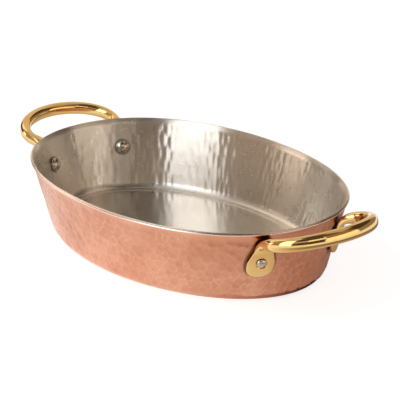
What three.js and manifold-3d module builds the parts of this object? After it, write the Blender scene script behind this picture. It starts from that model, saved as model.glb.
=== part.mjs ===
// Oval pan: a copper shell with flared sides and a turned-out lip, lined with pale metal, and
// two cast brass loop handles, each held to an end of the shell by two domed rivets.
// Millimetres, +Z up. The origin is the middle of the underside and +X runs along the length.

import * as THREE from 'three';
import { mergeVertices } from 'three/addons/utils/BufferGeometryUtils.js';
import Module from 'manifold-3d';

const degree = Math.PI / 180;

// Pan, measured over the outside of the copper
const panLength = 250;
const panWidth = 173;
const panHeight = 51;
const wallLean = 12 * degree;
const baseRadius = 8;
const lipLean = 31 * degree;
const lipLength = 2.4;
const lipBendRadius = 5;
const rimFullness = 2.14;
const baseFullness = 1.96;

// Sheet thicknesses
const copperThickness = 1.5;
const liningThickness = 0.4;
const liningGap = 0.1;

// Rivets: the domed head is inside the pan, the peened head outside in a recess of the lug
const rivetSpacing = 61.5;
const rivetBelowRim = 20.3;
const shankDiameter = 5;
const headDiameter = 9.8;
const headHeight = 3.6;
const peenDiameter = 6.2;
const peenHeight = 1.9;
const recessDepth = 1.1;

// Handles: an oval bar bent in a loop, its ends turned down into tongue-shaped lugs.
// Each was set by hand, and the right one rises more steeply.
const handleRise = { right: 16 * degree, left: 13 * degree };
const handleReach = 38;
const handleBulge = 3.7;
const legBelowRim = 5.8;
const bendReach = 8;
const bendTightness = 0.8;
const barWidth = 7.9;
const barHeight = 9.2;
const barFullness = 2.2;
const legShare = 0.86;
const lugWidth = 16.8;
const lugNeckWidth = 12.3;
const lugNeckRise = 7;
const lugThickness = 3;
const lugTail = 9.7;
const lugTipFullness = 2.6;
const lugFullness = 6;

// Clearances between separate pieces
const seatGap = 0.3;
const shankGap = 0.3;
const recessGap = 0.7;

// Facets
const ovalSteps = 80;
const cornerSteps = 5;
const lipBendSteps = 2;
const wallSteps = 2;
const barSides = 16;
const lugTipSteps = 5;
const lugSteps = 3;
const bendSteps = 6;
const loopSteps = 16;
const roundSteps = 16;
const domeSteps = 4;

const wallThickness = copperThickness + liningGap + liningThickness;
const rivetHeight = panHeight - rivetBelowRim;
const legHeight = panHeight - legBelowRim;
const lugTopHeight = rivetHeight + lugNeckRise;
const holeDiameter = shankDiameter + 2 * shankGap;
const recessDiameter = peenDiameter + 2 * recessGap;

const wasm = await Module();
wasm.setup();

function solidOf(geometry, matrix = new THREE.Matrix4()) {
  const plain = geometry.clone().applyMatrix4(matrix);
  plain.deleteAttribute('normal');
  plain.deleteAttribute('uv');
  const merged = mergeVertices(plain);
  return new wasm.Manifold(new wasm.Mesh({
    numProp: 3,
    vertProperties: new Float32Array(merged.attributes.position.array),
    triVerts: new Uint32Array(merged.index.array),
  }));
}

function geometryOf(solid) {
  const { vertProperties, triVerts } = solid.getMesh();
  const geometry = new THREE.BufferGeometry();
  geometry.setAttribute('position', new THREE.BufferAttribute(vertProperties, 3));
  geometry.setIndex(new THREE.BufferAttribute(triVerts, 1));
  geometry.computeVertexNormals();
  return geometry;
}

// Joins a row of closed rings, each with the same number of points, into one closed skin.
// Each four-sided patch is split along its shorter diagonal, so that nested skins split alike.
// The first and last rings are closed by fans to the two end points.
function loftGeometry(rings, startPoint, endPoint) {
  const sides = rings[0].length;
  const points = [...rings.flat(), startPoint, endPoint];
  const startIndex = rings.length * sides;
  const index = [];
  for (let side = 0; side < sides; side++) {
    const next = (side + 1) % sides;
    for (let ring = 0; ring + 1 < rings.length; ring++) {
      const [a, b] = [ring * sides + side, ring * sides + next];
      const [c, d] = [b + sides, a + sides];
      if (points[a].distanceTo(points[c]) < points[b].distanceTo(points[d])) {
        index.push(a, b, c, a, c, d);
      } else {
        index.push(a, b, d, b, c, d);
      }
    }
    const last = (rings.length - 1) * sides;
    index.push(startIndex, next, side);
    index.push(startIndex + 1, last + side, last + next);
  }
  const geometry = new THREE.BufferGeometry().setFromPoints(points);
  geometry.setIndex(index);
  return geometry;
}

// Side profile of the copper's outer face, from the rim down to the edge of the flat base.
// Each station holds its inset from the rim, its height, and how far the face leans there from
// upright, so that an offset along the inward normal gives the sheet's other faces.
function outerProfile() {
  const rimDrop = wallThickness * Math.sin(lipLean);
  const stations = [{ inset: 0, height: panHeight - rimDrop, lean: lipLean }];
  const walk = (length, lean, steps) => {
    const from = stations.at(-1);
    for (let step = 1; step <= steps; step++) {
      const run = length * step / steps;
      stations.push({
        inset: from.inset + run * Math.sin(lean),
        height: from.height - run * Math.cos(lean),
        lean,
      });
    }
  };
  const bend = (radius, endLean, steps) => {
    const from = stations.at(-1);
    const turn = Math.sign(endLean - from.lean);
    for (let step = 1; step <= steps; step++) {
      const lean = from.lean + (endLean - from.lean) * step / steps;
      stations.push({
        inset: from.inset + turn * radius * (Math.cos(from.lean) - Math.cos(lean)),
        height: from.height - turn * radius * (Math.sin(lean) - Math.sin(from.lean)),
        lean,
      });
    }
  };
  walk(lipLength, lipLean, 1);
  bend(lipBendRadius, wallLean, lipBendSteps);
  const wallDrop = stations.at(-1).height - baseRadius * (1 - Math.sin(wallLean));
  walk(wallDrop / Math.cos(wallLean), wallLean, wallSteps);
  bend(baseRadius, Math.PI / 2, cornerSteps);
  return stations;
}

const profile = outerProfile();

// A point on the oval at a given inset from the rim, height and angle round the pan
function ovalPoint(inset, height, angle) {
  const fullness = baseFullness + (rimFullness - baseFullness) * height / panHeight;
  const curve = (value) => Math.sign(value) * Math.abs(value) ** (2 / fullness);
  return new THREE.Vector3(
    (panLength / 2 - inset) * curve(Math.cos(angle)),
    (panWidth / 2 - inset) * curve(Math.sin(angle)),
    height,
  );
}

// The rings of one face of the sheet, at a depth below the copper's outer face
function faceRings(depth) {
  return profile.map(({ inset, height, lean }) => Array.from({ length: ovalSteps }, (_, step) => (
    ovalPoint(
      inset + depth * Math.cos(lean),
      height + depth * Math.sin(lean),
      2 * Math.PI * step / ovalSteps,
    )
  )));
}

// One layer of the sheet, from its underside up over the rim and down to its inner floor
function sheetGeometry(depth, thickness) {
  const outside = faceRings(depth).reverse();
  const inside = faceRings(depth + thickness);
  const underside = new THREE.Vector3(0, 0, depth);
  const floor = new THREE.Vector3(0, 0, depth + thickness);
  return loftGeometry([...outside, ...inside], underside, floor);
}

// The inset of the straight outer wall at a height
function wallInset(height) {
  const foot = profile.findLast((station) => station.lean === wallLean);
  return foot.inset - (height - foot.height) * Math.tan(wallLean);
}

// Where a point of the outer wall lies, by height and by distance round from a start angle, with
// the wall's outward normal and its level tangent there
function wallSeat(height, startAngle, along = 0) {
  const inset = wallInset(height);
  const tiny = 1e-4;
  const slope = (angle) => ovalPoint(inset, height, angle + tiny)
    .sub(ovalPoint(inset, height, angle - tiny)).divideScalar(2 * tiny);
  const angle = startAngle + along / slope(startAngle).length();
  const tangent = slope(angle).normalize();
  const level = new THREE.Vector3(tangent.y, -tangent.x, 0);
  const normal = level.multiplyScalar(Math.cos(wallLean)).setZ(-Math.sin(wallLean));
  return { point: ovalPoint(inset, height, angle), normal, tangent };
}

// The angle round the oval at which the outer wall is a given distance from the long axis
function angleAtSide(height, side) {
  const fullness = baseFullness + (rimFullness - baseFullness) * height / panHeight;
  const share = side / (panWidth / 2 - wallInset(height));
  return Math.asin(Math.sign(share) * Math.abs(share) ** (fullness / 2));
}

const rivetAngle = angleAtSide(rivetHeight, -rivetSpacing / 2);
const legAngle = angleAtSide(legHeight, -rivetSpacing / 2);

// A squared-off circle: fullness 2 gives a true one
function roundedTurn(angle, fullness) {
  const curve = (value) => Math.sign(value) * Math.abs(value) ** (2 / fullness);
  return { across: curve(Math.cos(angle)), through: curve(Math.sin(angle)) };
}

// The outline of the bar or of a lug, in half widths
function sectionRing(fullness) {
  const turn = 2 * Math.PI / barSides;
  return Array.from({ length: barSides }, (_, side) => roundedTurn((side + 0.5) * turn, fullness));
}

// The angle round the pan of a lug's centre line, which stands upright in a view from the end
function lugAngle(height) {
  return THREE.MathUtils.mapLinear(height, rivetHeight, legHeight, rivetAngle, legAngle);
}

// One ring of a lug, laid on the wall so that its back keeps an even gap
function lugRing(height, width) {
  return sectionRing(lugFullness).map(({ across, through }) => {
    const seat = wallSeat(height, lugAngle(height), across * width / 2);
    const standoff = seatGap + lugThickness * (1 - through) / 2;
    return seat.point.addScaledVector(seat.normal, standoff);
  });
}

// One ring of the bar, square to its path
function barRing(point, across, through, width, height, fullness) {
  return sectionRing(fullness).map((corner) => point.clone()
    .addScaledVector(across, corner.across * width / 2)
    .addScaledVector(through, corner.through * height / 2));
}

// A lug's rings, from its rounded tip up past the rivet to the neck where the bar bends out
function lugRings() {
  const rings = [];
  for (let step = 1; step <= lugTipSteps; step++) {
    const turn = roundedTurn(Math.PI / 2 * step / lugTipSteps, lugTipFullness);
    const height = rivetHeight - lugTail * Math.cos(wallLean) * turn.across;
    rings.push(lugRing(height, lugWidth * turn.through));
  }
  for (let step = 1; step <= lugSteps; step++) {
    const share = step / lugSteps;
    const height = THREE.MathUtils.lerp(rivetHeight, lugTopHeight, share);
    rings.push(lugRing(height, THREE.MathUtils.lerp(lugWidth, lugNeckWidth, share)));
  }
  return rings;
}

// The bar's centre line: more than half of an ellipse, in a plane that rises from the wall.
// It leaves the lugs square to the wall, swells to the handle's width and closes at the tip. The
// bar is fullest at the tip and thins a little towards its legs.
function handleLoop(rise) {
  const start = wallSeat(legHeight, legAngle);
  const root = start.point.addScaledVector(start.normal, seatGap + lugThickness);
  const halfWidth = handleBulge - root.y;
  const rootTurn = -Math.acos(-root.y / halfWidth);
  const depth = handleReach / (1 - Math.sin(rootTurn));
  const bendTurn = Math.asin(bendReach / depth + Math.sin(rootTurn));
  const outward = new THREE.Vector3(1, 0, Math.tan(rise));
  const up = new THREE.Vector3(-Math.sin(rise), 0, Math.cos(rise));
  const point = (turn) => root.clone()
    .setY(-halfWidth * Math.cos(turn))
    .addScaledVector(outward, depth * (Math.sin(turn) - Math.sin(rootTurn)));
  const along = (turn) => new THREE.Vector3(0, halfWidth * Math.sin(turn), 0)
    .addScaledVector(outward, depth * Math.cos(turn)).normalize();
  const size = (turn) => {
    const toLeg = (Math.PI / 2 - turn) / (Math.PI / 2 - bendTurn);
    return 1 - (1 - legShare) * toLeg ** 2;
  };
  return { bendTurn, up, point, along, size };
}

// The rings that turn the flat lug into the round bar. The bend is led by its back edge, which
// leaves the wall and becomes the top of the bar.
function bendRings(loop) {
  const lugTop = wallSeat(lugTopHeight, lugAngle(lugTopHeight));
  const upWall = lugTop.normal.clone().cross(lugTop.tangent);
  const backStart = lugTop.point.clone().addScaledVector(lugTop.normal, seatGap);
  const legThickness = legShare * barHeight;
  const backEnd = loop.point(loop.bendTurn).addScaledVector(loop.up, legThickness / 2);
  const leave = loop.along(loop.bendTurn);
  const levelRun = Math.hypot(backEnd.x - backStart.x, backEnd.y - backStart.y);
  const cornerHeight = backEnd.z - levelRun * leave.z / Math.hypot(leave.x, leave.y);
  const backCorner = backStart.clone()
    .addScaledVector(upWall, (cornerHeight - backStart.z) / upWall.z);
  const back = new THREE.CubicBezierCurve3(
    backStart,
    backStart.clone().lerp(backCorner, bendTightness),
    backEnd.clone().lerp(backCorner, bendTightness),
    backEnd,
  );
  const barAcross = loop.up.clone().cross(leave);
  const { lerp } = THREE.MathUtils;
  return Array.from({ length: bendSteps }, (_, step) => {
    const share = (step + 1) / bendSteps;
    const along = back.getTangent(share);
    const across = lugTop.tangent.clone().lerp(barAcross, share);
    const through = along.clone().cross(across).normalize();
    across.crossVectors(through, along);
    const height = lerp(lugThickness, legThickness, share);
    const middle = back.getPoint(share).addScaledVector(through, -height / 2);
    const width = lerp(lugNeckWidth, legShare * barWidth, share);
    return barRing(middle, across, through, width, height, lerp(lugFullness, barFullness, share));
  });
}

// Half a handle, from the tip of the lug on the -Y side to the middle of the loop
function halfHandleRings(rise) {
  const loop = handleLoop(rise);
  const rings = [...lugRings(), ...bendRings(loop)];
  for (let step = 1; step <= loopSteps; step++) {
    const turn = THREE.MathUtils.lerp(loop.bendTurn, Math.PI / 2, step / loopSteps);
    const across = loop.up.clone().cross(loop.along(turn));
    const [width, height] = [barWidth, barHeight].map((full) => full * loop.size(turn));
    rings.push(barRing(loop.point(turn), across, loop.up, width, height, barFullness));
  }
  return rings;
}

// The axis of a rivet: a frame on the outer wall whose +Y points straight out of it
function rivetFrame(side) {
  const seat = wallSeat(rivetHeight, side * rivetAngle);
  const turn = new THREE.Quaternion().setFromUnitVectors(new THREE.Vector3(0, 1, 0), seat.normal);
  return new THREE.Matrix4().compose(seat.point, turn, new THREE.Vector3(1, 1, 1));
}

// A handle's two rivets lie on either side of the pan's long axis, and the two ends are alike,
// half a turn apart
const rivetSides = [1, -1];
const endTurns = { right: 0, left: Math.PI };

// A round bar along a rivet's axis, between two distances off the outer wall
function rivetCutter(side, diameter, from, to, endTurn = 0) {
  const cylinder = new THREE.CylinderGeometry(diameter / 2, diameter / 2, to - from, roundSteps);
  cylinder.translate(0, (from + to) / 2, 0);
  const turn = new THREE.Matrix4().makeRotationZ(endTurn);
  return solidOf(cylinder, turn.multiply(rivetFrame(side)));
}

// A whole handle: the half and its mirror image, drilled and recessed for the rivets
function handleGeometry(rise) {
  const half = halfHandleRings(rise);
  const mirrored = half.slice(0, -1).reverse()
    .map((ring) => ring.map((point) => new THREE.Vector3(point.x, -point.y, point.z)));
  const rings = [...half, ...mirrored];
  const middle = (ring) => ring
    .reduce((sum, point) => sum.add(point), new THREE.Vector3()).divideScalar(ring.length);
  let handle = solidOf(loftGeometry(rings, middle(rings[0]), middle(rings.at(-1))));
  const lugFace = seatGap + lugThickness;
  const clear = lugFace + recessDepth;
  for (const side of rivetSides) {
    handle = handle.subtract(rivetCutter(side, holeDiameter, 0, clear));
    handle = handle.subtract(rivetCutter(side, recessDiameter, lugFace - recessDepth, clear));
  }
  return geometryOf(handle);
}

// One layer of the sheet with its four rivet holes
function drilledSheet(depth, thickness) {
  let sheet = solidOf(sheetGeometry(depth, thickness));
  const reach = 2 * wallThickness;
  for (const endTurn of Object.values(endTurns)) {
    for (const side of rivetSides) {
      sheet = sheet.subtract(rivetCutter(side, holeDiameter, -reach, reach, endTurn));
    }
  }
  return geometryOf(sheet);
}

// How far the lining's inner face bows past the rivet's axis under the rim of the domed head
function headRise() {
  const seat = wallSeat(rivetHeight, rivetAngle);
  const edge = wallSeat(rivetHeight, rivetAngle, headDiameter / 2);
  return edge.point.sub(seat.point).dot(seat.normal.negate());
}

// A rivet, turned about its axis: domed head, shank, and the low dome of the peened end
function rivetGeometry() {
  const headSeat = -(wallThickness + headRise() + seatGap);
  const peenSeat = seatGap + lugThickness - recessDepth + seatGap;
  const dome = (radius, seat, height) => Array.from({ length: domeSteps }, (_, step) => {
    const angle = Math.PI / 2 * step / domeSteps;
    return new THREE.Vector2(radius * Math.cos(angle), seat + height * Math.sin(angle));
  });
  const outline = [
    new THREE.Vector2(0, headSeat - headHeight),
    ...dome(headDiameter / 2, headSeat, -headHeight).reverse(),
    new THREE.Vector2(shankDiameter / 2, headSeat),
    new THREE.Vector2(shankDiameter / 2, peenSeat),
    ...dome(peenDiameter / 2, peenSeat, peenHeight),
    new THREE.Vector2(0, peenSeat + peenHeight),
  ];
  return new THREE.LatheGeometry(outline, roundSteps);
}

const copper = { color: 0xc98467, metalness: 1, roughness: 0.38 };
const paleMetal = { color: 0xb9aa9b, metalness: 1, roughness: 0.35 };
const brass = { color: 0xd9a850, metalness: 1, roughness: 0.2 };
const steel = { color: 0xd6d2cc, metalness: 1, roughness: 0.18 };

function named(name, geometry, finish) {
  const mesh = new THREE.Mesh(geometry, new THREE.MeshStandardMaterial(finish));
  mesh.name = name;
  return mesh;
}

const pan = new THREE.Group();
pan.name = 'oval_pan';
pan.add(named('copper_shell', drilledSheet(0, copperThickness), copper));
pan.add(named('lining', drilledSheet(copperThickness + liningGap, liningThickness), paleMetal));

for (const [end, turn] of Object.entries(endTurns)) {
  const group = new THREE.Group();
  group.rotation.z = turn;
  group.add(named(`handle_${end}`, handleGeometry(handleRise[end]), brass));
  for (const side of rivetSides) {
    const place = side * Math.cos(turn) > 0 ? 'front' : 'back';
    const rivet = named(`rivet_${end}_${place}`, rivetGeometry(), steel);
    rivet.applyMatrix4(rivetFrame(side));
    group.add(rivet);
  }
  pan.add(group);
}

export default pan;
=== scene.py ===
import math

import bpy
import numpy as np
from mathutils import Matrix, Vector
from mathutils.kdtree import KDTree


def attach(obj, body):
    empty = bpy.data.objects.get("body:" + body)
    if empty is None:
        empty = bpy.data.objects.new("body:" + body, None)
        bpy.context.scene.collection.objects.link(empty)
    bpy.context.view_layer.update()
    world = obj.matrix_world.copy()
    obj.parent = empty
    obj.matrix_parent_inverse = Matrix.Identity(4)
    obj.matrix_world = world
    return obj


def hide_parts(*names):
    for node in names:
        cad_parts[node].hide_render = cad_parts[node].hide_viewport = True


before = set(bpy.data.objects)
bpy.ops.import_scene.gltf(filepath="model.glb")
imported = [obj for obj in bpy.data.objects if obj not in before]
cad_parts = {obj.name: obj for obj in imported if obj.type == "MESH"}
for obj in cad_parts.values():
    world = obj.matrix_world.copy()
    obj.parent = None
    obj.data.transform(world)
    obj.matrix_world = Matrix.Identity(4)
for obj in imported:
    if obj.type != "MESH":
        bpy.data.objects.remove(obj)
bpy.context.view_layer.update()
bpy.context.scene.view_settings.view_transform = "Standard"

# Copper shell
# The pan's body is one sheet of copper, raised to an oval with flared sides and a short lip turned
# out at the rim. The sides are planished with a round-faced hammer, which leaves a net of shallow
# dents, and the rim is trimmed to a bare edge, made paler still as a painted highlight.

mm = 0.001
pan_length, pan_width, pan_height = 250 * mm, 173 * mm, 51 * mm
wall_lean = math.radians(12)
lip_lean = math.radians(31)
lip_length = 2.4 * mm
lip_bend_radius = 5 * mm
base_radius = 8 * mm
rim_fullness, base_fullness = 2.14, 1.96
copper_thickness, lining_gap, lining_thickness = 1.5 * mm, 0.1 * mm, 0.4 * mm
wall_thickness = copper_thickness + lining_gap + lining_thickness
edge_round, rim_round, edge_steps = 0.2 * mm, 0.6 * mm, 7
bead_width, bead_height, bead_steps = 0.9 * mm, 0.14 * mm, 8
flat_shares = np.array([0.3, 0.7, 0.96])
crease_angle = math.radians(50)
around_steps, measure_steps = 720, 20000
row_step, hidden_step = 0.95 * mm, 3


def side_line(step):
    """The outer face from the rim down to the flat base: inset, height, lean and distance run."""
    line = [(0.0, pan_height - wall_thickness * math.sin(lip_lean), lip_lean, 0.0)]

    def straight(length):
        """Runs on at the same lean."""
        inset, height, lean, run = line[-1]
        steps = max(1, round(length / step))
        for share in np.linspace(0, length, steps + 1)[1:]:
            line.append((inset + share * math.sin(lean), height - share * math.cos(lean),
                         lean, run + share))

    def bend(radius, end_lean):
        """Runs on round an arc to a new lean."""
        inset, height, start, run = line[-1]
        turn = math.copysign(1, end_lean - start)
        steps = max(4, round(radius * abs(end_lean - start) / step))
        for lean in np.linspace(start, end_lean, steps + 1)[1:]:
            line.append((inset + turn * radius * (math.cos(start) - math.cos(lean)),
                         height - turn * radius * (math.sin(lean) - math.sin(start)),
                         lean, run + radius * abs(lean - start)))

    straight(lip_length)
    bend(lip_bend_radius, wall_lean)
    wall_top = len(line) - 1
    foot_height = base_radius * (1 - math.sin(wall_lean))
    straight((line[-1][1] - foot_height) / math.cos(wall_lean))
    wall_foot = len(line) - 1
    bend(base_radius, math.pi / 2)
    return np.array(line), wall_top, wall_foot


def oval(inset, height, angle):
    """Points of the oval at an inset from the rim, a height and angles round the pan."""
    power = 2 / (base_fullness + (rim_fullness - base_fullness) * height / pan_height)
    across, deep = np.cos(angle), np.sin(angle)
    return np.stack([
        (pan_length / 2 - inset) * np.sign(across) * np.abs(across) ** power,
        (pan_width / 2 - inset) * np.sign(deep) * np.abs(deep) ** power,
        np.full_like(angle, height),
    ], axis=-1)


side, wall_top, wall_foot = side_line(row_step)
fine_turn = np.linspace(0, 2 * math.pi, measure_steps + 1)
middle_inset, middle_height = side[(wall_top + wall_foot) // 2, :2]
fine_run = np.linalg.norm(np.diff(oval(middle_inset, middle_height, fine_turn), axis=0), axis=1)
fine_run = np.concatenate([[0], np.cumsum(fine_run)])
girth = fine_run[-1]
around = np.arange(around_steps) * girth / around_steps
around_angle = np.interp(around, fine_run, fine_turn)


def face_rings(depth):
    """One face of the sheet at a depth below the copper's outer face, with its outward normals."""
    rings, normals = [], []
    for inset, height, lean, _ in side:
        ring = oval(inset + depth * math.cos(lean), height + depth * math.sin(lean), around_angle)
        along = np.roll(ring, -1, axis=0) - np.roll(ring, 1, axis=0)
        level = np.stack([along[:, 1], -along[:, 0]], axis=-1)
        level /= np.linalg.norm(level, axis=1, keepdims=True)
        drop = np.full((around_steps, 1), -math.sin(lean))
        rings.append(ring)
        normals.append(np.concatenate([level * math.cos(lean), drop], axis=1))
    return np.array(rings), np.array(normals)


# Hammer blows lie in staggered rows round the wall, none quite in line or quite as hard
hammer_random = np.random.default_rng(11)
first_row, last_row = side[wall_top, 3] + 2.6 * mm, side[wall_foot, 3] + 5 * mm
blow_reach, ridge_spread = 20 * mm, 4
unstruck_level, unstruck_tone = 0.5, 0.5
lip_overlap, lip_fade = 1 * mm, 2.5 * mm
base_margin, base_fade = 4 * mm, 5 * mm


def blow_rows(spacing, row_spacing, wander, depth, depth_spread):
    """Where each blow fell, as its run round the wall and down it, how deep it went and a tone."""
    rows = []
    for row, run in enumerate(np.arange(first_row, last_row, row_spacing)):
        count = round(girth / spacing)
        place = (np.arange(count) + 0.5 * (row % 2)) * girth / count
        strayed = hammer_random.normal(0, wander, (count, 2))
        hard = depth + hammer_random.normal(0, depth_spread, count)
        tone = hammer_random.uniform(0, 1, count)
        rows.append(np.stack([place + strayed[:, 0], run + strayed[:, 1], hard, tone], axis=-1))
    return np.concatenate(rows)


def dents(blows, run, radii, softness):
    """How deep the blows lie along one row of the wall, the ridges between them and their tones."""
    near = blows[np.abs(blows[:, 1] - run) < blow_reach]
    if len(near) == 0:
        return np.zeros((3, around_steps))
    aside = (around[:, None] - near[None, :, 0] + girth / 2) % girth - girth / 2
    bowl = aside ** 2 / (2 * radii[0]) + (run - near[None, :, 1]) ** 2 / (2 * radii[1])
    unstruck = np.full((around_steps, 1), unstruck_level * softness)
    bowl = np.concatenate([bowl - near[None, :, 2], unstruck], axis=1)
    deepest = np.sort(bowl, axis=1)[:, :2]
    spread = np.exp(-(bowl - deepest[:, :1]) / softness).sum(axis=1)
    depth = deepest[:, 0] - softness * np.log(spread)
    ridge = np.exp(-((deepest[:, 1] - deepest[:, 0]) / (ridge_spread * softness)) ** 2)
    cell = np.append(near[:, 3], unstruck_tone)[bowl.argmin(axis=1)]
    return depth, ridge, cell


def hammered_wall(blows, radii, softness):
    """Depths, ridges and tones over the whole side, fading out below the lip and above the base."""
    rows = [dents(blows, run, radii, softness) for run in side[:, 3]]
    fade_in = np.clip((side[:, 3] - side[wall_top, 3] + lip_overlap) / lip_fade, 0, 1)
    fade_out = np.clip((side[-1, 3] - side[:, 3] - base_margin) / base_fade, 0, 1)
    return [np.array(found) * (fade_in * fade_out)[:, None] for found in zip(*rows)]


def edge_rings(depth, thickness, outer_round):
    """The cut edge at the rim, from the outer face to the inner, with its two corners rounded."""
    inset, height, lean, _ = side[0]

    def corner(radius):
        """Round one corner: how far back from the edge and how far in from the face."""
        turns = np.radians(np.linspace(0, 90, edge_steps))
        return [(radius * (1 - math.sin(turn)), radius * (1 - math.cos(turn))) for turn in turns]

    walk = [(back, depth + down) for back, down in corner(outer_round)]
    walk += [(back, depth + thickness - down) for back, down in reversed(corner(edge_round))]
    return np.array([
        oval(inset + back * math.sin(lean) + down * math.cos(lean),
             height - back * math.cos(lean) + down * math.sin(lean), around_angle)
        for back, down in walk
    ])


def flat_rings(ring, shares):
    """Rings inside a flat one, for an even floor or underside."""
    return np.array([ring * [share, share, 1] for share in shares])


def floor_bead(depth):
    """A low bead where the planished side ends and the flat floor begins."""
    inset, height, _, _ = side[-1]
    return np.array([
        oval(inset + share * bead_width, height + depth + bead_height * math.sin(share * math.pi) ** 2,
             around_angle)
        for share in np.linspace(0, 1, bead_steps + 1)[1:]
    ])


def loft_piece(name, rings):
    """A closed skin over a row of rings, with a flat face across the first and the last."""
    count, sides = rings.shape[:2]
    index = np.arange(count * sides).reshape(count, sides)
    beside = np.roll(index, -1, axis=1)
    quads = np.stack([index[:-1], beside[:-1], beside[1:], index[1:]], axis=-1).reshape(-1, 4)
    mesh = bpy.data.meshes.new(name)
    caps = [index[0][::-1].tolist(), index[-1].tolist()]
    mesh.from_pydata(rings.reshape(-1, 3).tolist(), [], quads.tolist() + caps)
    mesh.shade_smooth()
    mesh.set_sharp_from_angle(angle=crease_angle)
    piece = bpy.data.objects.new(name, mesh)
    bpy.context.scene.collection.objects.link(piece)
    return piece


def point_values(piece, name, values):
    """Keeps one number at each point of a piece, for its material to read."""
    layer = piece.data.attributes.new(name, "FLOAT", "POINT")
    layer.data.foreach_set("value", np.ascontiguousarray(values, dtype=np.float32).ravel())


def thinned(rings):
    """The rings kept of a face that is out of sight: one in a few, and the last one."""
    kept = list(range(0, len(rings) - 1, hidden_step)) + [len(rings) - 1]
    return rings[kept]


def sheet_piece(name, depth, thickness, hammered, shows_inside):
    """One layer of the sheet, from its underside up over the rim and down to its inner floor."""
    wall_depth, wall_ridge, wall_cell = hammered
    outside, outward = face_rings(depth)
    inside, _ = face_rings(depth + thickness)
    sunk = outward * wall_depth[..., None]
    if shows_inside:
        outside, inside = thinned(outside), inside - sunk
        outside_ridge, inside_ridge = thinned(0 * wall_ridge), wall_ridge
    else:
        outside, inside = outside + sunk, thinned(inside)
        outside_ridge, inside_ridge = wall_ridge, thinned(0 * wall_ridge)
    under = flat_rings(outside[-1], flat_shares)
    floor = flat_rings(inside[-1], flat_shares[::-1])
    bead = floor_bead(depth + thickness) if shows_inside else floor[:0]
    edge = edge_rings(depth, thickness, edge_round if shows_inside else rim_round)
    rings = [under, outside[:0:-1], edge, inside[1:], bead, floor]
    piece = loft_piece(name, np.concatenate(rings))

    def keep(mark, values):
        """Keeps a mark's values by their place in the row of rings, and 0 elsewhere."""
        blank = [np.zeros(part.shape[:2]) for part in rings]
        for place, value in values.items():
            blank[place] = blank[place] + value
        point_values(piece, mark, np.concatenate(blank))

    keep("ridge", {1: outside_ridge[:0:-1], 3: inside_ridge[1:]})
    if not shows_inside:
        keep("cell", {1: wall_cell[:0:-1]})
    # Marks the rim's cut edge and the lining's floor bead, which the materials make paler as a painted
    # highlight.
    keep("bare_edge_and_bead_highlight", {2: 1, 4: 1})
    keep("seam", {})
    return piece


def metal_finish(name, colour, roughness):
    """A new material of bare metal, with its nodes and shader at hand."""
    material = bpy.data.materials.new(name)
    material.use_nodes = True
    nodes = material.node_tree.nodes
    shader = nodes["Principled BSDF"]
    shader.inputs["Metallic"].default_value = 1
    shader.inputs["Base Color"].default_value = (*colour, 1)
    shader.inputs["Roughness"].default_value = roughness
    return material, material.node_tree, shader


def add_node(tree, kind, **values):
    """A shader node with values set by the names of its sockets."""
    made = tree.nodes.new(kind)
    for name, value in values.items():
        made.inputs[name.replace("_", " ")].default_value = value
    return made


def noise(tree, scale, detail, stretch=(1, 1, 1)):
    """A cloudy value over the piece, by its own place in space."""
    place = tree.nodes.new("ShaderNodeTexCoord")
    spread = add_node(tree, "ShaderNodeMapping", Scale=stretch)
    cloud = add_node(tree, "ShaderNodeTexNoise", Scale=scale, Detail=detail)
    tree.links.new(place.outputs["Object"], spread.inputs["Vector"])
    tree.links.new(spread.outputs["Vector"], cloud.inputs["Vector"])
    return cloud.outputs["Fac"]


def stretch_range(tree, value, low, high, to_low, to_high):
    """One value mapped from a range to another."""
    change = add_node(tree, "ShaderNodeMapRange", From_Min=low, From_Max=high,
                      To_Min=to_low, To_Max=to_high)
    tree.links.new(value, change.inputs["Value"])
    return change.outputs["Result"]


def times(tree, first, second):
    """Two values multiplied."""
    product = tree.nodes.new("ShaderNodeMath")
    product.operation = "MULTIPLY"
    tree.links.new(first, product.inputs[0])
    tree.links.new(second, product.inputs[1])
    return product.outputs[0]


def mix_colours(tree, share, first, second):
    """Two colours mixed by a share. Each is a colour or a socket that gives one."""
    blend = tree.nodes.new("ShaderNodeMix")
    blend.data_type = "RGBA"
    tree.links.new(share, blend.inputs["Factor"])
    for socket, colour in ((blend.inputs[6], first), (blend.inputs[7], second)):
        if isinstance(colour, tuple):
            socket.default_value = (*colour, 1)
        else:
            tree.links.new(colour, socket)
    return blend.outputs[2]


def read_points(tree, name):
    """The numbers kept at a piece's points."""
    reader = tree.nodes.new("ShaderNodeAttribute")
    reader.attribute_name = name
    return reader.outputs["Fac"]


def roughen(tree, shader, height, strength, distance):
    """A fine unevenness of the surface."""
    bump = add_node(tree, "ShaderNodeBump", Strength=strength, Distance=distance)
    tree.links.new(height, bump.inputs["Height"])
    tree.links.new(bump.outputs["Normal"], shader.inputs["Normal"])


def patchy_colour(tree, cloud, dark, light):
    """A colour that drifts between two tones over the piece, by a cloudy value."""
    return mix_colours(tree, stretch_range(tree, cloud, 0.35, 0.65, 0, 1), dark, light)


def hazy_value(tree, cloud, low, high):
    """A number that drifts between two others over the piece, by a cloudy value."""
    return stretch_range(tree, cloud, 0.3, 0.7, low, high)


def seam_shaded_colour(tree, tone, painted_shade):
    """A colour that darkens where the piece lies against others, as painted contact shade."""
    darkest = 0.85
    share = stretch_range(tree, read_points(tree, "seam"), 0, 1, 0, darkest)
    return mix_colours(tree, share, tone, painted_shade)


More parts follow.
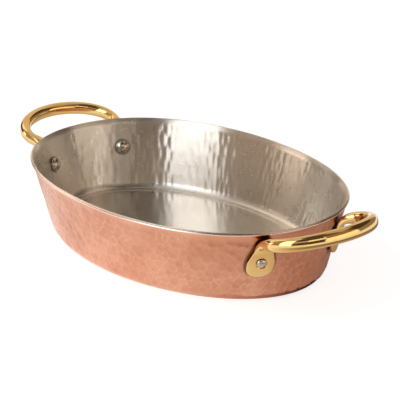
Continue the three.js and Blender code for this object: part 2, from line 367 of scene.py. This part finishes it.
dark_copper, light_copper = (0.63, 0.288, 0.178), (0.735, 0.37, 0.245)
dented_copper, burnished_and_highlit_copper = (0.56, 0.24, 0.145), (0.86, 0.53, 0.39)
bare_highlit_copper, copper_seam_shade = (0.95, 0.78, 0.68), (0.12, 0.05, 0.03)
copper, tree, shader = metal_finish("hammered_copper", (0.74, 0.385, 0.255), 0.3)
tone = patchy_colour(tree, noise(tree, 45, 3), dark_copper, light_copper)
cell = stretch_range(tree, read_points(tree, "cell"), 0.3, 1, 0, 0.4)
tone = mix_colours(tree, cell, tone, dented_copper)
# The ridges between the dents are paler in patches: partly burnish, partly a painted highlight.
wear_and_sheen_patches = stretch_range(tree, noise(tree, 25, 3), 0.4, 0.62, 0.05, 0.5)
burnish_and_highlight = times(tree, read_points(tree, "ridge"), wear_and_sheen_patches)
tone = mix_colours(tree, burnish_and_highlight, tone, burnished_and_highlit_copper)
# The rim's cut edge: bare copper, made paler still as a painted highlight.
tone = mix_colours(tree, read_points(tree, "bare_edge_and_bead_highlight"), tone, bare_highlit_copper)
# Painted contact shade on the copper where the lugs lie against it.
tone = seam_shaded_colour(tree, tone, copper_seam_shade)
tree.links.new(tone, shader.inputs["Base Color"])
haze = hazy_value(tree, noise(tree, 160, 4), 0.18, 0.27)
tree.links.new(haze, shader.inputs["Roughness"])
roughen(tree, shader, noise(tree, 1400, 3), 0.06, 0.0004)

blow_spacing, blow_row_spacing, blow_wander = 5.6 * mm, 4.8 * mm, 1.0 * mm
blow_depth, blow_depth_spread = 0.36 * mm, 0.07 * mm
hammer_radii, hammer_softness = (13 * mm, 13 * mm), 0.016 * mm
blows = blow_rows(blow_spacing, blow_row_spacing, blow_wander, blow_depth, blow_depth_spread)
planished = hammered_wall(blows, hammer_radii, hammer_softness)
shell = sheet_piece("hammered_shell", 0, copper_thickness, planished, False)
shell.data.materials.append(copper)
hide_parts("copper_shell")
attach(shell, "root")

# Lining
# A thin skin of pale metal is bonded to the inside of the copper, over the floor, the walls and the
# lip. Hammering leaves tall, shallow flutes down its brushed walls, and the floor is polished smooth.

bond = 0.02 * mm
flute_spacing, flute_row_spacing, flute_wander = 4.6 * mm, 9 * mm, 1.1 * mm
flute_depth, flute_depth_spread = 0.11 * mm, 0.035 * mm
flute_radii, flute_softness = (22 * mm, 140 * mm), 0.02 * mm
polish_fade = 0.8 * mm
brushing, brush_turn = 0.97, 0.25
floor_roughness, wall_roughness, edge_roughness = 0.16, 0.26, 0.3
dark_lining, light_lining = (0.755, 0.71, 0.65), (0.805, 0.77, 0.72)
bare_highlit_lining, lining_seam_shade = (0.93, 0.87, 0.8), (0.1, 0.07, 0.05)


def add_up(tree, first, second):
    """Two values added."""
    total = tree.nodes.new("ShaderNodeMath")
    tree.links.new(first, total.inputs[0])
    tree.links.new(second, total.inputs[1])
    return total.outputs[0]


lining_metal, tree, shader = metal_finish("pale_lining", (0.78, 0.75, 0.69), 0.3)
brushed = read_points(tree, "brushed")
tree.links.new(stretch_range(tree, brushed, 0, 1, 0, brushing), shader.inputs["Anisotropic"])
shader.inputs["Anisotropic Rotation"].default_value = brush_turn
tone = patchy_colour(tree, noise(tree, 30, 4), dark_lining, light_lining)
# Painted highlight on the lining's cut edge and on its floor bead.
tone = mix_colours(tree, read_points(tree, "bare_edge_and_bead_highlight"), tone, bare_highlit_lining)
# Painted contact shade on the lining round the rivet heads.
tone = seam_shaded_colour(tree, tone, lining_seam_shade)
tree.links.new(tone, shader.inputs["Base Color"])
polish = stretch_range(tree, brushed, 0, 1, floor_roughness, wall_roughness)
haze = hazy_value(tree, noise(tree, 120, 4), 0, 0.05)
satin = stretch_range(tree, read_points(tree, "bare_edge_and_bead_highlight"), 0, 1, 0, edge_roughness)
tree.links.new(add_up(tree, add_up(tree, polish, haze), satin), shader.inputs["Roughness"])
roughen(tree, shader, noise(tree, 60, 3, (1, 1, 7)), 0.02, 0.0008)

blows = blow_rows(flute_spacing, flute_row_spacing, flute_wander, flute_depth, flute_depth_spread)
rippled = hammered_wall(blows, flute_radii, flute_softness)
lining = sheet_piece("hammered_lining", copper_thickness + bond,
                     lining_thickness + lining_gap - bond, rippled, True)
lining.data.materials.append(lining_metal)
heights = np.array([vertex.co.z for vertex in lining.data.vertices])
point_values(lining, "brushed", np.clip((heights - wall_thickness) / polish_fade, 0, 1))
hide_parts("lining")
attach(lining, "root")

# Handles
# Two brass castings, one riveted to each end: an oval bar bent in a loop, its ends turned down and
# flattened into tongue-shaped lugs that lie on the wall. They are polished all over.

handle_rise = {"right": math.radians(16), "left": math.radians(13)}
handle_reach, handle_bulge = 38 * mm, 3.7 * mm
bend_reach, bend_tightness = 8 * mm, 0.8
bar_width, bar_height, bar_fullness = 7.9 * mm, 9.2 * mm, 2.2
leg_share = 0.86
lug_width, lug_neck_width, lug_thickness = 16.8 * mm, 12.3 * mm, 3 * mm
lug_neck_rise, lug_tail = 7 * mm, 9.7 * mm
lug_tip_fullness, lug_fullness = 3, 4.2
rivet_spacing = 61.5 * mm
rivet_height = pan_height - 20.3 * mm
leg_height = pan_height - 5.8 * mm
lug_top_height = rivet_height + lug_neck_rise
seat_gap = 0.3 * mm
lug_face = seat_gap + lug_thickness
recess_depth, recess_radius, recess_sides = 1.1 * mm, 3.8 * mm, 64
flare_depth, flare_width, flare_overshoot = 0.25 * mm, 0.3 * mm, 0.05 * mm
tool_spread, tool_height = 0.6 * mm, 2 * mm
lug_crease_angle = math.radians(40)
lug_seam_gap, lug_seam_width = 1.8 * mm, 0.8 * mm
bar_sides = 56
tip_steps, neck_steps, bend_steps, loop_steps = 18, 8, 18, 40


def wall_inset(height):
    """The inset of the straight outer wall at a height."""
    inset, foot = side[wall_foot, :2]
    return inset - (height - foot) * math.tan(wall_lean)


def wall_seat(height, start_angle, along=np.zeros(1)):
    """Points of the outer wall at distances round from an angle, with normals and tangents."""
    inset, tiny = wall_inset(height), 1e-4

    def slope(angle):
        """How far and which way the wall runs for each unit of angle."""
        step = oval(inset, height, angle + tiny) - oval(inset, height, angle - tiny)
        return step / (2 * tiny)

    start = np.full_like(along, start_angle)
    angle = start + along / np.linalg.norm(slope(start), axis=-1)
    tangent = slope(angle)
    tangent /= np.linalg.norm(tangent, axis=-1, keepdims=True)
    normal = np.stack([tangent[:, 1] * math.cos(wall_lean), -tangent[:, 0] * math.cos(wall_lean),
                       np.full(len(along), -math.sin(wall_lean))], axis=-1)
    return oval(inset, height, angle), normal, tangent


def angle_at_side(height, aside):
    """The angle round the oval at which the wall is a given distance from the long axis."""
    fullness = base_fullness + (rim_fullness - base_fullness) * height / pan_height
    share = aside / (pan_width / 2 - wall_inset(height))
    return math.asin(math.copysign(abs(share) ** (fullness / 2), share))


rivet_angle = angle_at_side(rivet_height, -rivet_spacing / 2)
leg_angle = angle_at_side(leg_height, -rivet_spacing / 2)


def rounded_turn(angle, fullness):
    """A squared-off circle: fullness 2 gives a true one."""
    across, through = np.cos(angle), np.sin(angle)
    return (np.sign(across) * np.abs(across) ** (2 / fullness),
            np.sign(through) * np.abs(through) ** (2 / fullness))


section_turn = (np.arange(bar_sides) + 0.5) * 2 * math.pi / bar_sides


def lug_angle(height):
    """The angle round the oval of a lug's middle line at a height."""
    share = (height - rivet_height) / (leg_height - rivet_height)
    return rivet_angle + share * (leg_angle - rivet_angle)


def lug_ring(height, width):
    """One ring of a lug, laid on the wall so that its back keeps an even gap."""
    across, through = rounded_turn(section_turn, lug_fullness)
    point, normal, _ = wall_seat(height, lug_angle(height), across * width / 2)
    return point + normal * (seat_gap + lug_thickness * (1 - through) / 2)[:, None]


def bar_ring(point, across, through, width, height, fullness):
    """One ring of the bar, square to its path."""
    aside, above = rounded_turn(section_turn, fullness)
    return point + np.outer(aside * width / 2, across) + np.outer(above * height / 2, through)


def unit(vector):
    """A direction of length 1."""
    return vector / np.linalg.norm(vector)


def half_handle(rise):
    """Rings from the tip of the lug on the -Y side to the middle of the loop."""
    rings = []
    for turn in np.linspace(0, math.pi / 2, tip_steps + 1)[1:]:
        down, out = rounded_turn(turn, lug_tip_fullness)
        rings.append(lug_ring(rivet_height - lug_tail * math.cos(wall_lean) * down,
                              lug_width * out))
    for share in np.linspace(0, 1, neck_steps + 1)[1:]:
        rings.append(lug_ring(rivet_height + share * lug_neck_rise,
                              lug_width + share * (lug_neck_width - lug_width)))

    start, normal, _ = wall_seat(leg_height, leg_angle)
    root = start[0] + normal[0] * lug_face
    half_width = handle_bulge - root[1]
    root_turn = -math.acos(-root[1] / half_width)
    depth = handle_reach / (1 - math.sin(root_turn))
    bend_turn = math.asin(bend_reach / depth + math.sin(root_turn))
    outward = np.array([1, 0, math.tan(rise)])
    up = np.array([-math.sin(rise), 0, math.cos(rise)])

    def loop_point(turn):
        """A point of the loop's middle line."""
        level = np.array([root[0], -half_width * math.cos(turn), root[2]])
        return level + outward * depth * (math.sin(turn) - math.sin(root_turn))

    def loop_along(turn):
        """The way that the loop's middle line runs."""
        return unit(np.array([0, half_width * math.sin(turn), 0])
                    + outward * depth * math.cos(turn))

    lug_top = wall_seat(lug_top_height, lug_angle(lug_top_height))
    top, normal, tangent = (found[0] for found in lug_top)
    up_wall = np.cross(normal, tangent)
    back_start = top + normal * seat_gap
    leg_width, leg_thickness = leg_share * bar_width, leg_share * bar_height
    back_end = loop_point(bend_turn) + up * leg_thickness / 2
    leave = loop_along(bend_turn)
    level_run = math.hypot(*(back_end - back_start)[:2])
    corner_height = back_end[2] - level_run * leave[2] / math.hypot(*leave[:2])
    back_corner = back_start + up_wall * (corner_height - back_start[2]) / up_wall[2]
    start_pull = (back_corner - back_start) * bend_tightness
    end_pull = (back_end - back_corner) * bend_tightness
    middle_pull = back_end - end_pull - back_start - start_pull
    bar_across = np.cross(up, leave)
    for share in np.linspace(0, 1, bend_steps + 1)[1:]:
        rest = 1 - share
        back = (rest ** 3 * back_start + 3 * rest ** 2 * share * (back_start + start_pull)
                + 3 * rest * share ** 2 * (back_end - end_pull) + share ** 3 * back_end)
        along = unit(rest ** 2 * start_pull + 2 * rest * share * middle_pull + share ** 2 * end_pull)
        across = tangent * rest + bar_across * share
        through = unit(np.cross(along, across))
        across = np.cross(through, along)
        height = rest * lug_thickness + share * leg_thickness
        rings.append(bar_ring(back - through * height / 2, across, through,
                              rest * lug_neck_width + share * leg_width, height,
                              rest * lug_fullness + share * bar_fullness))
    for to_leg in np.linspace(1, 0, loop_steps + 1)[1:]:
        turn = math.pi / 2 - to_leg * (math.pi / 2 - bend_turn)
        size = 1 - (1 - leg_share) * to_leg ** 2
        rings.append(bar_ring(loop_point(turn), np.cross(up, loop_along(turn)), up,
                              size * bar_width, size * bar_height, bar_fullness))
    return np.array(rings)


def rivet_frame(aside):
    """A rivet's seat on the outer wall: its centre and the way straight out."""
    point, normal, _ = wall_seat(rivet_height, aside * rivet_angle)
    return Vector(point[0]), Vector(normal[0])


def lathe_piece(name, outline, sides, centre, axis):
    """A closed turned piece: radii and distances along an axis, set at a centre."""
    turn = np.arange(sides) * 2 * math.pi / sides
    circle = np.stack([np.cos(turn), np.sin(turn), np.zeros(sides)], axis=-1)
    rings = np.array([circle * radius + [0, 0, along] for radius, along in outline])
    tilt = np.array(axis.to_track_quat("Z", "Y").to_matrix())
    return loft_piece(name, rings @ tilt.T + np.array(centre))


def half_turn(piece):
    """Turns a finished mesh to the pan's other end."""
    points = np.zeros(len(piece.data.vertices) * 3, np.float32)
    piece.data.vertices.foreach_get("co", points)
    piece.data.vertices.foreach_set("co", (points.reshape(-1, 3) * [-1, -1, 1]).ravel())
    piece.data.update()


def carve(piece, tool):
    """Cuts a tool's shape out of a piece and removes the tool."""
    cut = piece.modifiers.new("cut", "BOOLEAN")
    cut.operation, cut.solver, cut.object = "DIFFERENCE", "EXACT", tool
    graph = bpy.context.evaluated_depsgraph_get()
    carved = bpy.data.meshes.new_from_object(piece.evaluated_get(graph))
    piece.modifiers.clear()
    old, piece.data = piece.data, carved
    bpy.data.meshes.remove(old)
    bpy.data.objects.remove(tool)


def darken_seam(piece, beside, gap, width):
    """Marks a piece's points against another one and a narrow fringe round them, for painted shade."""
    finder = KDTree(len(beside.data.vertices))
    for vertex in beside.data.vertices:
        finder.insert(vertex.co, vertex.index)
    finder.balance()
    marks = piece.data.attributes["seam"].data
    for vertex in piece.data.vertices:
        _, _, apart = finder.find(vertex.co)
        if apart < gap + width:
            nearness = min(1, (gap + width - apart) / width)
            marks[vertex.index].value = max(marks[vertex.index].value, nearness)


dark_brass, light_brass = (0.81, 0.55, 0.2), (0.87, 0.64, 0.29)
brass, tree, shader = metal_finish("polished_brass", (0.86, 0.58, 0.2), 0.14)
tone = patchy_colour(tree, noise(tree, 60, 3), dark_brass, light_brass)
tree.links.new(tone, shader.inputs["Base Color"])
haze = hazy_value(tree, noise(tree, 220, 4), 0.07, 0.13)
tree.links.new(haze, shader.inputs["Roughness"])
roughen(tree, shader, noise(tree, 120, 2), 0.04, 0.001)

recess = [(recess_radius, lug_face - recess_depth), (recess_radius, lug_face - flare_depth),
          (recess_radius + flare_width, lug_face + flare_overshoot),
          (recess_radius + tool_spread, lug_face + tool_height)]
for end, rise in handle_rise.items():
    half = half_handle(rise)
    whole = np.concatenate([half, (half * [1, -1, 1])[-2::-1]])
    handle = loft_piece(f"brass_handle_{end}", whole)
    for aside in (1, -1):
        carve(handle, lathe_piece("recess_tool", recess, recess_sides, *rivet_frame(aside)))
    if end == "left":
        half_turn(handle)
    handle.data.shade_smooth()
    handle.data.set_sharp_from_angle(angle=lug_crease_angle)
    handle.data.materials.clear()
    handle.data.materials.append(brass)
    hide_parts(f"handle_{end}")
    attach(handle, "root")
    # Marks the copper round each lug for its painted contact shade.
    darken_seam(shell, handle, lug_seam_gap, lug_seam_width)

# Rivets
# Four pale metal rivets, one through each lug and the wall. Each has a broad domed head inside the
# pan, and its outer end is peened over to a low dome in a round recess of the lug.

shank_radius, head_radius, head_height = 2.5 * mm, 4.9 * mm, 3.6 * mm
peen_radius, peen_height = 3.1 * mm, 1.9 * mm
rivet_sides, dome_steps = 48, 12
rivet_seam_width = 1.3 * mm

dark_rivet, light_rivet = (0.52, 0.47, 0.41), (0.63, 0.59, 0.54)
rivet_metal, tree, shader = metal_finish("rivet_metal", (0.58, 0.53, 0.48), 0.2)
tone = patchy_colour(tree, noise(tree, 500, 3), dark_rivet, light_rivet)
tree.links.new(tone, shader.inputs["Base Color"])
haze = hazy_value(tree, noise(tree, 700, 3), 0.16, 0.24)
tree.links.new(haze, shader.inputs["Roughness"])
roughen(tree, shader, noise(tree, 450, 2), 0.08, 0.0008)

seat_point, _, _ = wall_seat(rivet_height, rivet_angle)
edge_point, _, _ = wall_seat(rivet_height, rivet_angle, np.array([head_radius]))
_, seat_out = rivet_frame(1)
head_rise = float((edge_point[0] - seat_point[0]) @ -np.array(seat_out))
head_seat = -(wall_thickness + head_rise + seat_gap)
peen_seat = lug_face - recess_depth + seat_gap
quarter = np.linspace(0, math.pi / 2, dome_steps + 1)[:-1]
outline = [(head_radius * math.cos(turn), head_seat - head_height * math.sin(turn))
           for turn in quarter[::-1]]
outline += [(shank_radius, head_seat), (shank_radius, peen_seat)]
outline += [(peen_radius * math.cos(turn), peen_seat + peen_height * math.sin(turn))
            for turn in quarter]
for end in handle_rise:
    for aside in (1, -1):
        place = "front" if (aside > 0) == (end == "right") else "back"
        rivet = lathe_piece(f"domed_rivet_{end}_{place}", outline, rivet_sides, *rivet_frame(aside))
        if end == "left":
            half_turn(rivet)
        rivet.data.materials.append(rivet_metal)
        # Marks the lining round each rivet head for its painted contact shade.
        darken_seam(lining, rivet, seat_gap, rivet_seam_width)
        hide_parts(f"rivet_{end}_{place}")
        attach(rivet, "root")

# Camera
# It stands to the right of the pan's front and looks down on it through a long lens. Its place was
# fitted to the rim, the base line, the rivets and both loops.

sensor_width, focal_pixels, photo_pixels = 36, 1640.25, 400
camera = bpy.data.objects.new("camera", bpy.data.cameras.new("camera"))
azimuth, elevation, distance = math.radians(50.83), math.radians(20.96), 1.13005
target = Vector((-0.019793, 0.029043, 0.016667))
back = Vector((math.sin(azimuth) * math.cos(elevation), -math.cos(azimuth) * math.cos(elevation),
               math.sin(elevation)))
camera.location = target + back * distance
camera.rotation_euler = (-back).to_track_quat("-Z", "Y").to_euler()
camera.data.sensor_width = sensor_width
camera.data.lens = focal_pixels / photo_pixels * sensor_width
bpy.context.scene.collection.objects.link(camera)
bpy.context.scene.camera = camera

# Floor and light
# The pan stands on a plain pale floor in a white room, under one soft lamp on the left. Plain cards
# that only metal shows stand round it, as the soft box, panels and dark flags of a studio, and two
# more lie on the floor for the shade that the copper shows at its foot.

floor_radius, floor_drop, floor_sides = 6, 0.3 * mm, 128
floor_glow, room_light = 0.8, 0.25
floor_mesh = bpy.data.meshes.new("pale_floor")
floor_turn = np.linspace(0, 2 * math.pi, floor_sides + 1)[:-1]
floor_edge = [(floor_radius * math.cos(turn), floor_radius * math.sin(turn), -floor_drop)
              for turn in floor_turn]
floor_mesh.from_pydata(floor_edge, [], [list(range(floor_sides))])
floor = bpy.data.objects.new("pale_floor", floor_mesh)
bpy.context.scene.collection.objects.link(floor)


def seen_directly(tree):
    """1 for what the camera sees, and for what metal or glass reflects, and 0 for plain light."""
    path = tree.nodes.new("ShaderNodeLightPath")
    total = path.outputs["Is Camera Ray"]
    for name in ("Is Glossy Ray", "Is Transmission Ray"):
        either = tree.nodes.new("ShaderNodeMath")
        either.operation = "MAXIMUM"
        tree.links.new(total, either.inputs[0])
        tree.links.new(path.outputs[name], either.inputs[1])
        total = either.outputs[0]
    return total


floor_paint = bpy.data.materials.new("pale_floor")
floor_paint.use_nodes = True
tree = floor_paint.node_tree
tree.nodes.remove(tree.nodes["Principled BSDF"])
matt = add_node(tree, "ShaderNodeBsdfDiffuse", Color=(0.8, 0.8, 0.8, 1))
glow = add_node(tree, "ShaderNodeEmission", Color=(1, 1, 1, 1))
seen = seen_directly(tree)
tree.links.new(stretch_range(tree, seen, 0, 1, 0, floor_glow), glow.inputs["Strength"])
both = tree.nodes.new("ShaderNodeAddShader")
tree.links.new(matt.outputs[0], both.inputs[0])
tree.links.new(glow.outputs[0], both.inputs[1])
tree.links.new(both.outputs[0], tree.nodes["Material Output"].inputs["Surface"])
floor_mesh.materials.append(floor_paint)

world = bpy.data.worlds.new("white_room")
bpy.context.scene.world = world
world.use_nodes = True
tree = world.node_tree
tree.nodes["Background"].inputs["Color"].default_value = (1, 1, 1, 1)
level = stretch_range(tree, seen_directly(tree), 0, 1, room_light, 1)
tree.links.new(level, tree.nodes["Background"].inputs["Strength"])


def round_pan(turn, rise, distance):
    """A place at a turn from the camera's side, to its right above 0, and a rise, in degrees."""
    heading = azimuth + math.radians(turn)
    level = distance * math.cos(math.radians(rise))
    return Vector((level * math.sin(heading), -level * math.cos(heading),
                   distance * math.sin(math.radians(rise))))


def metal_only(name, points, quads, brightness, tone):
    """A plain card that gives no light of its own to the floor and that only metal shows."""
    mesh = bpy.data.meshes.new(name)
    mesh.from_pydata(points, [], quads)
    paper = bpy.data.materials.new(name)
    paper.use_nodes = True
    tree = paper.node_tree
    tree.nodes.remove(tree.nodes["Principled BSDF"])
    lit = add_node(tree, "ShaderNodeEmission", Color=(*tone, 1), Strength=brightness)
    tree.links.new(lit.outputs[0], tree.nodes["Material Output"].inputs["Surface"])
    mesh.materials.append(paper)
    card = bpy.data.objects.new(name, mesh)
    card.visible_camera = card.visible_diffuse = card.visible_shadow = False
    bpy.context.scene.collection.objects.link(card)
    return card, tree


def grid_quads(rows, columns):
    """The faces between the points of a grid, which run row by row."""
    index = np.arange(rows * columns).reshape(rows, columns)
    quads = np.stack([index[:-1, :-1], index[:-1, 1:], index[1:, 1:], index[1:, :-1]], axis=-1)
    return quads.reshape(-1, 4).tolist()


def bent_card(name, rises, turns, brightness, tone=(1, 1, 1), head_turns=None):
    """A card bent round the pan between two rises and two turns, which may differ at its head."""
    across, up, card_distance = 13, 9, 1.3
    points = []
    for share in np.linspace(0, 1, up):
        left, right = np.array(turns) * (1 - share) + np.array(head_turns or turns) * share
        rise = rises[0] + share * (rises[1] - rises[0])
        points += [round_pan(turn, rise, card_distance) for turn in np.linspace(left, right, across)]
    metal_only(name, points, grid_quads(up, across), brightness, tone)


dusk, dim, warm = (1, 0.66, 0.45), (1, 0.82, 0.66), (1, 0.87, 0.72)
low, high, overhead = (-2, 22), (22, 52), (52, 76)
bent_card("soft_box", (-2, 52), (-63, -31), 2.4, head_turns=(-80, -40))
bent_card("soft_box_head", overhead, (-120, -42), 0.7)
bent_card("camera_flag", low, (-29, 31), 0.08, dusk, head_turns=(-33, 31))
bent_card("camera_card", (22, 37), (-33, 0), 0.6, dim, head_turns=(-36, 0))
bent_card("camera_side_card", (22, 37), (0, 31), 1.3, warm)
bent_card("camera_head", (37, 52), (-36, 31), 0.05, dusk, head_turns=(-39, 31))
bent_card("right_panel", low, (33, 84), 1.5, warm)
bent_card("right_flag", high, (33, 84), 0.32, dusk)
bent_card("far_right_card", low, (84, 150), 0.3, dim)
bent_card("far_right_flag", high, (84, 150), 0.08, dusk)
bent_card("left_flag", low, (-100, -65), 0.38, dusk, head_turns=(-100, -72))
bent_card("left_card", low, (-115, -100), 2.2, dim)
bent_card("far_left_flag", low, (-148, -115), 0.03, dusk)
bent_card("left_head", high, (-126, -72), 0.4, dim, head_turns=(-126, -82))
bent_card("rim_card", high, (-148, -126), 1.4, warm)
bent_card("back_card", (-2, 52), (150, 212), 0.8, dim)
bent_card("ceiling_flag", overhead, (-42, 75), 0.1, dim)
bent_card("ceiling_card", overhead, (75, 240), 0.6, dim)
bent_card("top_card", (76, 90), (-180, 180), 0.05, dim)

foot_start, foot_end, foot_points = -120, 165, 116
foot_angle = azimuth + np.radians(np.linspace(foot_start, foot_end, foot_points))
lit_floor, dark_level = (1, 0.94, 0.9), 0.4


def floor_card(name, height, reaches, turns, levels, tone):
    """A card on the floor round the pan's foot: at each reach, its brightness at turns round it."""
    rings = np.array([oval(side[-1, 0] - reach, height, foot_angle) for reach in reaches])
    turn = np.degrees(np.arctan2(rings[..., 1], rings[..., 0]) - azimuth) + 90
    first_turn = -100
    turn = (turn - first_turn) % 360 + first_turn
    level = [np.interp(along, turns, row) for along, row in zip(turn, levels)]
    points = rings.reshape(-1, 3).tolist()
    card, tree = metal_only(name, points, grid_quads(*rings.shape[:2]), 1, tone)
    point_values(card, "level", np.array(level))
    level = read_points(tree, "level")
    paleness = stretch_range(tree, level, dark_level, 1, 0, 1)
    tree.links.new(level, tree.nodes["Emission"].inputs["Strength"])
    colour = mix_colours(tree, paleness, tone, lit_floor)
    tree.links.new(colour, tree.nodes["Emission"].inputs["Color"])


shade_height, shade_tone = -0.1 * mm, (1, 0.74, 0.59)
shade_reaches = (-40 * mm, 8 * mm, 55 * mm, 100 * mm, 170 * mm)
shade_turns = (-25, 23, 45, 65, 150, 250)
near_levels = (1.25, 0.9, 0.5, 0.33, 0.2, 1.25)
middle_levels = (1.05, 0.7, 0.68, 0.52, 0.2, 1)
far_levels = (1, 0.3, 0.3, 0.3, 0.2, 1)
floor_card("shade", shade_height, shade_reaches, shade_turns,
           (near_levels, near_levels, middle_levels, far_levels, far_levels), shade_tone)

contact_height, contact_tone = -0.05 * mm, (1, 0.7, 0.55)
contact_reaches = (-2 * mm, 9 * mm)
contact_turns, contact_levels = (0, 43, 150, 250), (1.1, 0.05, 0.05, 1.1)
floor_card("contact_shade", contact_height, contact_reaches, contact_turns,
           (contact_levels, contact_levels), contact_tone)


def soft_lamp(name, place, aim, size, power):
    """A square lamp that lights the pan and the floor, and that metal doesn't show."""
    lamp = bpy.data.lights.new(name, "AREA")
    lamp.shape, lamp.size, lamp.energy = "SQUARE", size, power
    held = bpy.data.objects.new(name, lamp)
    held.location = place
    held.rotation_euler = (Vector(aim) - Vector(place)).to_track_quat("-Z", "Y").to_euler()
    held.visible_camera = held.visible_glossy = False
    bpy.context.scene.collection.objects.link(held)


lamp_turn, lamp_rise, lamp_distance = -102, 42, 4
lamp_size, lamp_power = 1.9, 20
lamp_place = round_pan(lamp_turn, lamp_rise, lamp_distance)
soft_lamp("floor_lamp", lamp_place, (0, 0, 0), lamp_size, lamp_power)
